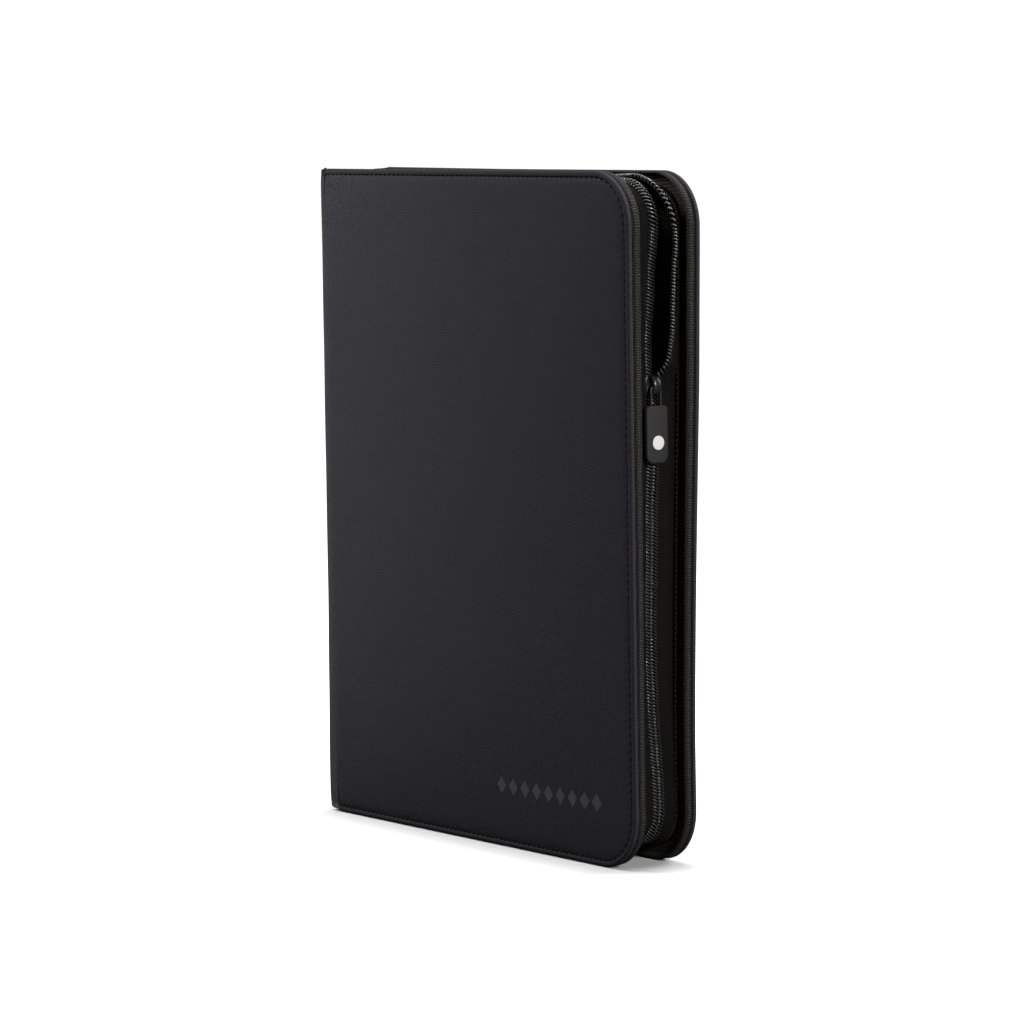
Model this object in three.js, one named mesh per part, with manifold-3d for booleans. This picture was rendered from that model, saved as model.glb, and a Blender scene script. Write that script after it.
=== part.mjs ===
// A zip-up trading card binder: two padded covers, a spine, a zip round three sides and
// twenty pocket pages. Millimetres, +Z up. The binder stands on its bottom edges with the
// spine at -X, the long side of the zip at +X and the front cover facing -Y. The origin is
// the centre of its footprint.
import * as THREE from 'three';
import { mergeVertices } from 'three/addons/utils/BufferGeometryUtils.js';
import Module from 'manifold-3d';

// Overall size
const WIDTH = 267;
const HEIGHT = 345;
const THICKNESS = 44;
const CORNER_RADIUS = 27;

// One cover, from its outer face inwards: skin, foam, board and inner panel, with gaps
// between. The skin and the inner panel are shallow trays that meet rim to rim.
const GAP = 0.3;
const PAD_RISE = 0.6;
const SKIN = 1.0;
const FOAM = 1.0;
const BOARD = 1.5;
const PANEL = 1.0;
const COVER = PAD_RISE + SKIN + FOAM + BOARD + PANEL + 3 * GAP;
const SKIN_RIM = 3.5;
const PANEL_INSET = 0.3;
const EDGE_WALL = 1.3;
const EDGE_ROUND = 0.9;
const PANEL_ROUND = 0.6;
const PAD_INSET = 4.6;
const PAD_ROUND = 0.5;

// The spine is a tray too; the covers start just clear of it, and fold about its outer corners
const SPINE = 5.4;
const SPINE_LINING = 1.0;
const HINGE_STRIP = 6.0;

// The zip, whose layers are measured in from the binder's outline
const HEM_OUT = 7.6;
const HEM_IN = 11.4;
const HEM = 1.2;
const COIL_OUT = 10.3;
const COIL_IN = 11.6;
const COIL_WIDTH = 2.9;
const COIL_CLEARANCE = 0.7;
const TAPE_OUT = 11.9;
const TAPE_IN = 12.6;
const TAPE_CLEARANCE = 1.2;
const ZIP_START = 17;
const STOP_LENGTH = 4;

// The slider and its pull
const SLIDER_Z = 239.5;
const SLIDER_LENGTH = 11;
const SLIDER_WIDTH = 9.6;
const PLATE_OUTER = [8.6, 9.8];
const PLATE_INNER = [13.1, 14.1];
const FLANGE_DEPTH = 11.4;
const FLANGE_THICKNESS = 0.7;
const POST_THICKNESS = 0.8;
const POST_LENGTH = 3;
const CROWN_LENGTH = 8.4;
const CROWN_WIDTH = 3.2;
const CROWN_TOP = 4.1;
const EYE_RADIUS = 1.15;
const PIVOT_INSET = 6.35;
const PIVOT_DROP = 0.6;
const WIRE = 1.3;
const LOOP_WIDTH = 7.4;
const TAB_WIDTH = 13.2;
const TAB_LENGTH = 28.5;
const TAB_THICKNESS = 3.0;
const TAB_DROP = 9.4;
const TAB_CORNER = 2.0;
const TAB_END_CORNER = 4.2;
const TAB_GRIP = 6;
const BADGE_RADIUS = 3.5;
const BADGE_PLACE = 0.64;
const BADGE_THICKNESS = 0.4;

// The pages, bound to a strip inside the spine
const PAGES = 20;
const PAGE_PITCH = 1.5;
const PAGE_THICKNESS = 0.9;
const PAGE_ROOT_THICKNESS = 0.3;
const PAGE_ROOT = 9;
const PAGE_WIDTH = 232;
const PAGE_HEIGHT = 300;
const BINDING = 2.5;
const BINDING_MARGIN = 1.5;

const CURVE_STEPS = 8;
const LEFT = -WIDTH / 2;
const RIGHT = WIDTH / 2;
const FRONT = -THICKNESS / 2;

const wasm = await Module();
wasm.setup();

const binder = new THREE.Group();

const materials = {
  skin: new THREE.MeshStandardMaterial({ color: 0x1d1d20, roughness: 0.55, metalness: 0 }),
  foam: new THREE.MeshStandardMaterial({ color: 0x3a3a3c, roughness: 0.95, metalness: 0 }),
  board: new THREE.MeshStandardMaterial({ color: 0x8a7a64, roughness: 0.9, metalness: 0 }),
  lining: new THREE.MeshStandardMaterial({ color: 0x17171a, roughness: 0.85, metalness: 0 }),
  tape: new THREE.MeshStandardMaterial({ color: 0x1b1a17, roughness: 0.9, metalness: 0 }),
  coil: new THREE.MeshStandardMaterial({ color: 0x141414, roughness: 0.35, metalness: 0 }),
  metal: new THREE.MeshStandardMaterial({ color: 0x101012, roughness: 0.2, metalness: 0.6 }),
  rubber: new THREE.MeshStandardMaterial({ color: 0x2a2828, roughness: 0.75, metalness: 0 }),
  badge: new THREE.MeshStandardMaterial({ color: 0xd8d8d6, roughness: 0.6, metalness: 0 }),
  page: new THREE.MeshStandardMaterial({ color: 0x232326, roughness: 0.4, metalness: 0 }),
};

// A closed geometry as a solid that can be joined and cut
function solid(geometry) {
  const bare = geometry.clone();
  bare.deleteAttribute('normal');
  bare.deleteAttribute('uv');
  const merged = mergeVertices(bare, 1e-4);
  const mesh = new wasm.Mesh({
    numProp: 3,
    vertProperties: Float32Array.from(merged.attributes.position.array),
    triVerts: Uint32Array.from(merged.index.array),
  });
  return new wasm.Manifold(mesh);
}

function geometryOf(body) {
  const mesh = body.getMesh();
  const geometry = new THREE.BufferGeometry();
  geometry.setAttribute('position', new THREE.BufferAttribute(mesh.vertProperties, 3));
  geometry.setIndex(new THREE.BufferAttribute(mesh.triVerts, 1));
  geometry.computeVertexNormals();
  return geometry;
}

function place(parent, name, geometry, material) {
  const mesh = new THREE.Mesh(geometry, material);
  mesh.name = name;
  parent.add(mesh);
  return mesh;
}

// A cover's outline in X and Z, square at the spine and rounded on the zip side
function coverOutline(inset) {
  const radius = CORNER_RADIUS - inset;
  const low = CORNER_RADIUS;
  const high = HEIGHT - CORNER_RADIUS;
  const shape = new THREE.Shape();
  shape.moveTo(LEFT + HINGE_STRIP + inset, inset);
  shape.lineTo(RIGHT - CORNER_RADIUS, inset);
  shape.absarc(RIGHT - CORNER_RADIUS, low, radius, -Math.PI / 2, 0, false);
  shape.absarc(RIGHT - CORNER_RADIUS, high, radius, 0, Math.PI / 2, false);
  shape.lineTo(LEFT + HINGE_STRIP + inset, HEIGHT - inset);
  shape.closePath();
  return shape;
}

// A band that follows the outline round the three open sides
function zipBand(outer, inner) {
  const low = CORNER_RADIUS;
  const high = HEIGHT - CORNER_RADIUS;
  const middle = RIGHT - CORNER_RADIUS;
  const shape = new THREE.Shape();
  shape.moveTo(LEFT + ZIP_START, outer);
  shape.lineTo(middle, outer);
  shape.absarc(middle, low, CORNER_RADIUS - outer, -Math.PI / 2, 0, false);
  shape.absarc(middle, high, CORNER_RADIUS - outer, 0, Math.PI / 2, false);
  shape.lineTo(LEFT + ZIP_START, HEIGHT - outer);
  shape.lineTo(LEFT + ZIP_START, HEIGHT - inner);
  shape.absarc(middle, high, CORNER_RADIUS - inner, Math.PI / 2, 0, true);
  shape.absarc(middle, low, CORNER_RADIUS - inner, 0, -Math.PI / 2, true);
  shape.lineTo(LEFT + ZIP_START, inner);
  shape.closePath();
  return shape;
}

// An outline in X and Z, extruded between two values of Y
function slab(shape, yLow, yHigh, round = 0) {
  const geometry = new THREE.ExtrudeGeometry(shape, {
    depth: yHigh - yLow - 2 * round,
    bevelEnabled: round > 0,
    bevelThickness: round,
    bevelSize: round,
    bevelOffset: -round,
    bevelSegments: 2,
    curveSegments: CURVE_STEPS,
  });
  geometry.rotateX(Math.PI / 2);
  geometry.translate(0, yHigh - round, 0);
  return geometry;
}

function block(xLow, xHigh, yLow, yHigh, zLow, zHigh) {
  const geometry = new THREE.BoxGeometry(xHigh - xLow, yHigh - yLow, zHigh - zLow);
  geometry.translate((xLow + xHigh) / 2, (yLow + yHigh) / 2, (zLow + zHigh) / 2);
  return geometry;
}

// The wrapped skin: a shallow tray with a raised, padded face and an open inner side
function coverSkin() {
  const base = solid(slab(coverOutline(0), FRONT + PAD_RISE, FRONT + SKIN_RIM, EDGE_ROUND));
  const pad = solid(slab(coverOutline(PAD_INSET), FRONT, FRONT + 2 * PAD_RISE, PAD_ROUND));
  const hollow = solid(slab(coverOutline(EDGE_WALL), FRONT + PAD_RISE + SKIN, FRONT + COVER));
  return geometryOf(base.add(pad).subtract(hollow));
}

// The inner panel: a tray that faces the skin and closes the cover
function innerPanel() {
  const rim = FRONT + SKIN_RIM + GAP;
  const base = solid(slab(coverOutline(PANEL_INSET), rim, FRONT + COVER, PANEL_ROUND));
  const hollow = solid(slab(coverOutline(PANEL_INSET + EDGE_WALL), FRONT, FRONT + COVER - PANEL));
  return geometryOf(base.subtract(hollow));
}

function layer(inset, from, thickness) {
  return slab(coverOutline(inset), FRONT + from, FRONT + from + thickness);
}

// One zip half is drawn on the front cover, and mirrored in Y for the back cover
function zipHem() {
  const from = FRONT + COVER + GAP;
  return slab(zipBand(HEM_OUT, HEM_IN), from, from + HEM);
}

function zipTape() {
  return slab(zipBand(TAPE_OUT, TAPE_IN), FRONT + COVER + GAP, -TAPE_CLEARANCE);
}

function zipCoil() {
  return slab(zipBand(COIL_OUT, COIL_IN), -COIL_CLEARANCE - COIL_WIDTH, -COIL_CLEARANCE);
}

function zipStop(zLow) {
  const end = LEFT + ZIP_START - GAP;
  const yHigh = -COIL_CLEARANCE;
  return block(end - STOP_LENGTH, end, yHigh - COIL_WIDTH, yHigh, zLow, zLow + TAPE_IN - COIL_OUT);
}

// The mirror image in Y, with its faces turned back to point outwards
function mirrored(geometry) {
  const copy = geometry.index ? geometry.toNonIndexed() : geometry.clone();
  copy.scale(1, -1, 1);
  const position = copy.attributes.position;
  const corner = new THREE.Vector3();
  const other = new THREE.Vector3();
  for (let i = 0; i < position.count; i += 3) {
    corner.fromBufferAttribute(position, i);
    other.fromBufferAttribute(position, i + 1);
    position.setXYZ(i, other.x, other.y, other.z);
    position.setXYZ(i + 1, corner.x, corner.y, corner.z);
  }
  copy.computeVertexNormals();
  return copy;
}

// A cover with everything that is fixed to it
function addCover(side, turn) {
  const cover = new THREE.Group();
  const foamFrom = PAD_RISE + SKIN + GAP;
  const boardFrom = foamFrom + FOAM + GAP;
  const inset = PANEL_INSET + EDGE_WALL + GAP;
  place(cover, `${side}_cover_skin`, turn(coverSkin()), materials.skin);
  place(cover, `${side}_foam`, turn(layer(inset, foamFrom, FOAM)), materials.foam);
  place(cover, `${side}_board`, turn(layer(inset, boardFrom, BOARD)), materials.board);
  place(cover, `${side}_inner_panel`, turn(innerPanel()), materials.lining);
  place(cover, `${side}_zip_hem`, turn(zipHem()), materials.tape);
  place(cover, `${side}_zip_tape`, turn(zipTape()), materials.tape);
  place(cover, `${side}_zip_coil`, turn(zipCoil()), materials.coil);
  place(cover, `${side}_zip_top_stop`, turn(zipStop(HEIGHT - TAPE_IN)), materials.metal);
  place(cover, `${side}_zip_bottom_stop`, turn(zipStop(COIL_OUT)), materials.metal);
  binder.add(cover);
}

function addSpine() {
  const half = THICKNESS / 2;
  const tray = solid(block(LEFT, LEFT + SPINE, -half, half, 0, HEIGHT));
  const wall = EDGE_WALL;
  const inside = block(LEFT + SKIN, LEFT + SPINE + 1, wall - half, half - wall, wall, HEIGHT - wall);
  place(binder, 'spine_skin', geometryOf(tray.subtract(solid(inside))), materials.skin);
  const reach = half - wall - GAP;
  const top = HEIGHT - wall - GAP;
  const boardFrom = LEFT + SKIN + GAP;
  const liningFrom = LEFT + SPINE - SPINE_LINING;
  const board = block(boardFrom, liningFrom - GAP, -reach, reach, wall + GAP, top);
  const lining = block(liningFrom, LEFT + SPINE, -reach, reach, wall + GAP, top);
  place(binder, 'spine_board', board, materials.board);
  place(binder, 'spine_lining', lining, materials.lining);
  const width = ((PAGES - 1) * PAGE_PITCH) / 2 + BINDING_MARGIN;
  const low = (HEIGHT - PAGE_HEIGHT) / 2;
  const from = LEFT + SPINE + GAP;
  const binding = block(from, from + BINDING, -width, width, low, HEIGHT - low);
  place(binder, 'page_binding', binding, materials.lining);
}

// A page: a thin welded root, then the thicker leaf of pockets
function pageGeometry() {
  const thin = PAGE_ROOT_THICKNESS / 2;
  const thick = PAGE_THICKNESS / 2;
  const leaf = PAGE_ROOT + PAGE_THICKNESS;
  const section = new THREE.Shape();
  section.moveTo(0, -thin);
  section.lineTo(PAGE_ROOT, -thin);
  section.lineTo(leaf, -thick);
  section.lineTo(PAGE_WIDTH, -thick);
  section.lineTo(PAGE_WIDTH, thick);
  section.lineTo(leaf, thick);
  section.lineTo(PAGE_ROOT, thin);
  section.lineTo(0, thin);
  section.closePath();
  return new THREE.ExtrudeGeometry(section, { depth: PAGE_HEIGHT, bevelEnabled: false });
}

function addPages() {
  const geometry = pageGeometry();
  const root = LEFT + SPINE + BINDING + 2 * GAP;
  for (let i = 0; i < PAGES; i += 1) {
    const name = `page_${String(i + 1).padStart(2, '0')}`;
    const page = place(binder, name, geometry, materials.page);
    page.position.set(root, (i - (PAGES - 1) / 2) * PAGE_PITCH, (HEIGHT - PAGE_HEIGHT) / 2);
  }
}

// The slider body: an outer plate with two flanges, an inner plate and the post between
function sliderBody() {
  const low = SLIDER_Z - SLIDER_LENGTH / 2;
  const high = SLIDER_Z + SLIDER_LENGTH / 2;
  const half = SLIDER_WIDTH / 2;
  const flange = half - FLANGE_THICKNESS;
  const [outerTop, outerUnder] = PLATE_OUTER.map((inset) => RIGHT - inset);
  const [innerTop, innerUnder] = PLATE_INNER.map((inset) => RIGHT - inset);
  const joined = 0.2;
  let body = solid(block(outerUnder, outerTop, -half, half, low, high));
  const flangeFrom = RIGHT - FLANGE_DEPTH;
  body = body.add(solid(block(flangeFrom, outerUnder + joined, -half, -flange, low, high)));
  body = body.add(solid(block(flangeFrom, outerUnder + joined, flange, half, low, high)));
  body = body.add(solid(block(innerUnder, innerTop, -half, half, low, high)));
  const post = POST_THICKNESS / 2;
  const span = [innerTop - joined, outerUnder + joined];
  body = body.add(solid(block(...span, -post, post, high - POST_LENGTH, high)));
  return geometryOf(body);
}

// The crown: an arch over the outer plate, with an eye for the pull loop
function sliderCrown() {
  const rise = PLATE_OUTER[0] - GAP - CROWN_TOP;
  const arch = new THREE.Shape();
  arch.absellipse(0, 0, CROWN_LENGTH / 2, rise, 0, Math.PI, false);
  arch.closePath();
  const eye = new THREE.Path();
  eye.absarc(-PIVOT_DROP, rise - (PIVOT_INSET - CROWN_TOP), EYE_RADIUS, 0, 2 * Math.PI, true);
  arch.holes.push(eye);
  const geometry = new THREE.ExtrudeGeometry(arch, {
    depth: CROWN_WIDTH,
    bevelEnabled: false,
    curveSegments: 10,
  });
  geometry.translate(0, 0, -CROWN_WIDTH / 2);
  const frame = new THREE.Matrix4().makeBasis(
    new THREE.Vector3(0, 0, 1),
    new THREE.Vector3(1, 0, 0),
    new THREE.Vector3(0, 1, 0),
  );
  geometry.applyMatrix4(frame);
  geometry.translate(RIGHT - PLATE_OUTER[0] + GAP, 0, SLIDER_Z);
  return geometry;
}

// The pull's wire: through the eye and down both sides into the tab, drawn from its pivot
function pullLoop(diameter, reach) {
  const half = LOOP_WIDTH / 2;
  const bend = 1.6;
  const path = new THREE.CurvePath();
  const vertical = (y, from, to) =>
    new THREE.LineCurve3(new THREE.Vector3(0, y, from), new THREE.Vector3(0, y, to));
  const corner = (from, side, to) =>
    new THREE.QuadraticBezierCurve3(
      new THREE.Vector3(0, ...from),
      new THREE.Vector3(0, ...side),
      new THREE.Vector3(0, ...to),
    );
  path.add(vertical(-half, -reach, -bend));
  path.add(corner([-half, -bend], [-half, 0], [bend - half, 0]));
  path.add(new THREE.LineCurve3(new THREE.Vector3(0, bend - half, 0), new THREE.Vector3(0, half - bend, 0)));
  path.add(corner([half - bend, 0], [half, 0], [half, -bend]));
  path.add(vertical(half, -bend, -reach));
  const section = new THREE.Shape();
  section.absarc(0, 0, diameter / 2, 0, 2 * Math.PI, false);
  return new THREE.ExtrudeGeometry(section, {
    steps: 24,
    curveSegments: 4,
    bevelEnabled: false,
    extrudePath: path,
  });
}

// The moulded tab, square-shouldered at the loop and rounder at its free end
function tabOutline() {
  const half = TAB_WIDTH / 2;
  const top = -TAB_DROP;
  const bottom = top - TAB_LENGTH;
  const shape = new THREE.Shape();
  const quarter = Math.PI / 2;
  const low = bottom + TAB_END_CORNER;
  const high = top - TAB_CORNER;
  shape.moveTo(-half, high);
  shape.lineTo(-half, low);
  shape.absarc(TAB_END_CORNER - half, low, TAB_END_CORNER, -2 * quarter, -quarter, false);
  shape.absarc(half - TAB_END_CORNER, low, TAB_END_CORNER, -quarter, 0, false);
  shape.absarc(half - TAB_CORNER, high, TAB_CORNER, 0, quarter, false);
  shape.absarc(TAB_CORNER - half, high, TAB_CORNER, quarter, 2 * quarter, false);
  shape.closePath();
  return shape;
}

function pullTab() {
  const round = 0.6;
  const geometry = new THREE.ExtrudeGeometry(tabOutline(), {
    depth: TAB_THICKNESS - 2 * round,
    bevelEnabled: true,
    bevelThickness: round,
    bevelSize: round,
    bevelOffset: -round,
    bevelSegments: 1,
    curveSegments: 5,
  });
  geometry.translate(0, 0, round - TAB_THICKNESS / 2);
  geometry.rotateX(Math.PI / 2);
  geometry.rotateZ(Math.PI / 2);
  const socket = solid(pullLoop(WIRE + 2 * GAP, TAB_DROP + TAB_GRIP + GAP));
  return geometryOf(solid(geometry).subtract(socket));
}

// A plain round badge on the tab's outer face
function pullBadge() {
  const geometry = new THREE.CylinderGeometry(BADGE_RADIUS, BADGE_RADIUS, BADGE_THICKNESS, 24);
  geometry.rotateZ(Math.PI / 2);
  const out = TAB_THICKNESS / 2 + GAP / 3 + BADGE_THICKNESS / 2;
  geometry.translate(out, 0, -TAB_DROP - TAB_LENGTH * BADGE_PLACE);
  return geometry;
}

function addSlider() {
  place(binder, 'slider_body', sliderBody(), materials.metal);
  place(binder, 'slider_crown', sliderCrown(), materials.metal);
  const pull = new THREE.Group();
  pull.position.set(RIGHT - PIVOT_INSET, 0, SLIDER_Z - PIVOT_DROP);
  place(pull, 'pull_loop', pullLoop(WIRE, TAB_DROP + TAB_GRIP), materials.metal);
  place(pull, 'pull_tab', pullTab(), materials.rubber);
  place(pull, 'pull_badge', pullBadge(), materials.badge);
  binder.add(pull);
}

addCover('front', (geometry) => geometry);
addCover('back', mirrored);
addSpine();
addPages();
addSlider();

export default binder;
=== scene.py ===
import math

import bmesh
import bpy
import numpy as np
from mathutils import Matrix, Vector
from mathutils.geometry import delaunay_2d_cdt


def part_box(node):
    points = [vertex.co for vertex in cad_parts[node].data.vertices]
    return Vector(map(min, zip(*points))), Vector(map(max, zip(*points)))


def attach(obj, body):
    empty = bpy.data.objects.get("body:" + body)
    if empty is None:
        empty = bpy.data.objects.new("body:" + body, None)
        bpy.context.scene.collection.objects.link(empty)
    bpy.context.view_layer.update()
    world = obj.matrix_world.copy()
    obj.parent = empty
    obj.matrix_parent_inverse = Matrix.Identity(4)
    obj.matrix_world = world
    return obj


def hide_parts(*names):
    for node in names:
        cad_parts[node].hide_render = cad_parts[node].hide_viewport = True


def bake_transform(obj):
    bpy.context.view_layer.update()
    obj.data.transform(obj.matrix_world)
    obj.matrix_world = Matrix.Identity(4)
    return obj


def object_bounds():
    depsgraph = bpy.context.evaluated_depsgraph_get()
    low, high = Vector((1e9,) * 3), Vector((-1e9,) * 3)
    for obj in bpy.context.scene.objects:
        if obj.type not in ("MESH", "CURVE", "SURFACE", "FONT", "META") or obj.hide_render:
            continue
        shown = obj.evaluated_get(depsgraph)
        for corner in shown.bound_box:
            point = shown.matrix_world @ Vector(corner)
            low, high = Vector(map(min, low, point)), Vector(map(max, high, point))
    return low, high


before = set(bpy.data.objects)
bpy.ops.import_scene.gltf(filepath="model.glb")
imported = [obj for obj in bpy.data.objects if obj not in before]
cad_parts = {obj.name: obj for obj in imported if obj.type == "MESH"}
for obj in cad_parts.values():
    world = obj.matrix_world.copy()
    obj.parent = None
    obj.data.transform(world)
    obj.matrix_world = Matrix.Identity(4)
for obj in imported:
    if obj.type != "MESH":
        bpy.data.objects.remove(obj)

MM = 0.001
CAD_LOW, CAD_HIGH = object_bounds()
LEFT, FRONT = CAD_LOW.x / MM, CAD_LOW.y / MM
RIGHT, BACK, TOP = CAD_HIGH.x / MM, CAD_HIGH.y / MM, CAD_HIGH.z / MM
WIDTH, THICKNESS = RIGHT - LEFT, BACK - FRONT
CORNER = 27.0

# Stitching round each cover: its pitch, its inset from the edge and the outline's steps to a
# stitch. The spine side's row is at GROOVE_LOW at the bottom and at GROOVE_HIGH at the top
STITCH = 4.0
STITCH_INSET = 3.0
STITCH_STEPS = 6
STITCH_DEPTH = 0.86
STITCH_GAP = 0.18
GROOVE_LOW = LEFT + 5.4
GROOVE_HIGH = LEFT + 3.1

# A hole's pucker as a share of the pitch, and a "seam" distance that no bead reaches
PUCKER_WIDTH = 0.14
FAR_FROM_RIM = 30.0

# The most that a cover's face stands out over its foam, and the radius of its middle's corners
PAD_CAP = 2.2
INNER_CORNER = 8.0

# The row of pressed lozenges on the front cover
LOZENGES, LOZENGE_PITCH, LOZENGE_HEIGHT = 9, 10.0, 12.0
LOZENGES_FROM, LOZENGE_MIDDLE = RIGHT - 115.0, 32.0

# The zip's line runs from the spine along the bottom, up the side and back along the top
ZIP_START = 17.0
ZIP_INSET = 11.0
RUN = RIGHT - CORNER - (LEFT + ZIP_START)
ARC = (CORNER - ZIP_INSET) * math.pi / 2
SIDE = TOP - 2 * CORNER
SIDE_FROM = RUN + ARC
ZIP_LENGTH = 2 * (RUN + ARC) + SIDE

# Each tape's root, length and thickness, how far it reaches where the zip is closed, and the
# distance up the side from which it is open
ROOT_INSET = 11.8
ROOT_DEPTH = 6.6
TAPE_LENGTH = 14.6
TAPE_THICK = 0.55
ZIP_REACH = THICKNESS / 2 - ROOT_DEPTH - 1.9
ZIP_OPEN_FROM = 214

# Each coil half's turns: their pitch, half width, half height, place on the tape and slant, the
# radius of their wire, and how far the sewing sits from their middle
COIL_PITCH = 1.65
COIL_HALF = 2.2
COIL_RISE = 1.05
COIL_SEAT = 0.45
COIL_SLANT = 0.4
WIRE = 0.4
SEWING_SEAT = 0.6

# The slider's parts are drawn across, up and inwards from the zip side, the pull's outwards
slider_low, slider_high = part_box("slider_body")
SLIDER_Z = (slider_low.z + slider_high.z) / 2 / MM
INWARDS = np.array([[0, 1, 0], [0, 0, 1], [-1, 0, 0]], float)
OUTWARDS = INWARDS * (-1, 1, 1)

# The photograph's camera, and the studio: the floor's size, and the light of the room and of the
# background that the camera sees
AZIMUTH, PITCH, ROLL = 54.105, 5.287, -0.919
CAMERA_PLACE = (1.913, -1.3808, 0.3869)
LENS = 161.65
FLOOR_HALF = 6.0
FLOOR_Z = -0.0004
DIM, BRIGHT = 0.02, 1.05

rng = np.random.default_rng(7)


def add_object(name, data):
    made = bpy.data.objects.new(name, data)
    bpy.context.scene.collection.objects.link(made)
    return made


# Camera, floor and lights

def add_camera():
    """The camera, at the photograph's place and angle"""
    azimuth, pitch, roll = (math.radians(v) for v in (AZIMUTH, PITCH, ROLL))
    forward = Vector((
        -math.sin(azimuth) * math.cos(pitch),
        math.cos(azimuth) * math.cos(pitch),
        -math.sin(pitch),
    ))
    level = Vector((math.cos(azimuth), math.sin(azimuth), 0))
    upright = level.cross(forward)
    right = math.cos(roll) * level + math.sin(roll) * upright
    up = math.cos(roll) * upright - math.sin(roll) * level
    data = bpy.data.cameras.new("camera")
    data.lens, data.sensor_width = LENS, 36
    data.clip_start, data.clip_end = 0.05, 50
    camera = add_object("camera", data)
    turn = Matrix((right, up, -forward)).transposed().to_4x4()
    camera.matrix_world = Matrix.Translation(CAMERA_PLACE) @ turn
    bpy.context.scene.camera = camera


def add_light(name, place, aim, width, height, watts):
    data = bpy.data.lights.new(name, "AREA")
    data.shape, data.size, data.size_y, data.energy = "RECTANGLE", width, height, watts
    light = add_object(name, data)
    light.visible_camera = False
    light.location = place
    light.rotation_euler = (Vector(aim) - Vector(place)).to_track_quat("-Z", "Y").to_euler()


def add_studio():
    """A white background and floor for the camera, and a dim room for the light on the binder"""
    bpy.context.scene.view_settings.view_transform = "Standard"
    world = bpy.data.worlds.new("studio")
    world.use_nodes = True
    bpy.context.scene.world = world
    tree = world.node_tree
    light = tree.nodes["Background"]
    light.inputs["Strength"].default_value = DIM
    white = tree.nodes.new("ShaderNodeBackground")
    white.inputs["Strength"].default_value = BRIGHT
    for background in (light, white):
        background.inputs["Color"].default_value = (1, 1, 1, 1)
    seen = tree.nodes.new("ShaderNodeLightPath")
    mix = tree.nodes.new("ShaderNodeMixShader")
    tree.links.new(seen.outputs["Is Camera Ray"], mix.inputs[0])
    tree.links.new(light.outputs[0], mix.inputs[1])
    tree.links.new(white.outputs[0], mix.inputs[2])
    tree.links.new(mix.outputs[0], tree.nodes["World Output"].inputs[0])
    add_light("key_light", (-0.3, -0.12, 0.28), (0, 0, 0.19), 0.08, 0.7, 0.54)
    add_light("side_light", (1.9, -0.28, 0.75), (0.12, 0, 0.2), 0.35, 0.35, 30)
    add_light("front_light", (-0.6, -0.9, 1.5), (0.1, 0, 0.3), 0.4, 0.4, 14)
    add_light("back_light", (0.3, 1.3, 0.8), (0, 0, 0.2), 1.0, 1.0, 22)
    add_light("top_light", (-0.2, 0.4, 1.8), (0, 0, 0), 1.2, 1.2, 22)
    add_floor()


def add_floor():
    """White paper for the camera, whose glow is painted light: it is weaker close to the binder, which
    paints shade only there, besides the real shadows
    """
    mesh = bpy.data.meshes.new("floor")
    corners = [(x * FLOOR_HALF, y * FLOOR_HALF, FLOOR_Z) for x, y in ((-1, -1), (1, -1), (1, 1), (-1, 1))]
    mesh.from_pydata(corners, [], [(0, 1, 2, 3)])
    floor = add_object("floor", mesh)
    paper = Shader("floor_paper")
    path = paper.node("LightPath")
    seen = path.outputs["Is Camera Ray"]
    white = paper.mix(grey(0.84), grey(0.88), paper.noise(40.0, 3))
    paper.put("Base Color", paper.mix(grey(0.12), white, seen))
    paper.put("Roughness", 0.9)
    paper.put("Specular IOR Level", 0.1)
    paper.put("Emission Color", (1, 1, 1, 1))
    place = paper.node("TexCoord")
    split = paper.node("SeparateXYZ")
    paper.join(place.outputs["Object"], split.inputs[0])
    beyond = []
    for socket, half in ((split.outputs[0], RIGHT * MM), (split.outputs[1], BACK * MM)):
        past = paper.minus(paper.math("ABSOLUTE", socket), half - 0.006)
        beyond.append(paper.math("POWER", paper.math("MAXIMUM", past, 0.0), 2.0))
    reach = paper.math("SQRT", paper.add(*beyond))
    # Painted light: the paper glows for the camera, less near the binder's footprint, which paints a
    # contact shadow round it
    painted_glow = paper.times(paper.step(reach, 0.0, 0.06), 0.8)
    painted_glow = paper.add(painted_glow, paper.times(paper.step(reach, 0.05, 0.5), 0.35))
    paper.put("Emission Strength", paper.times(painted_glow, seen))
    mesh.materials.append(paper.material)


# Materials

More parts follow.
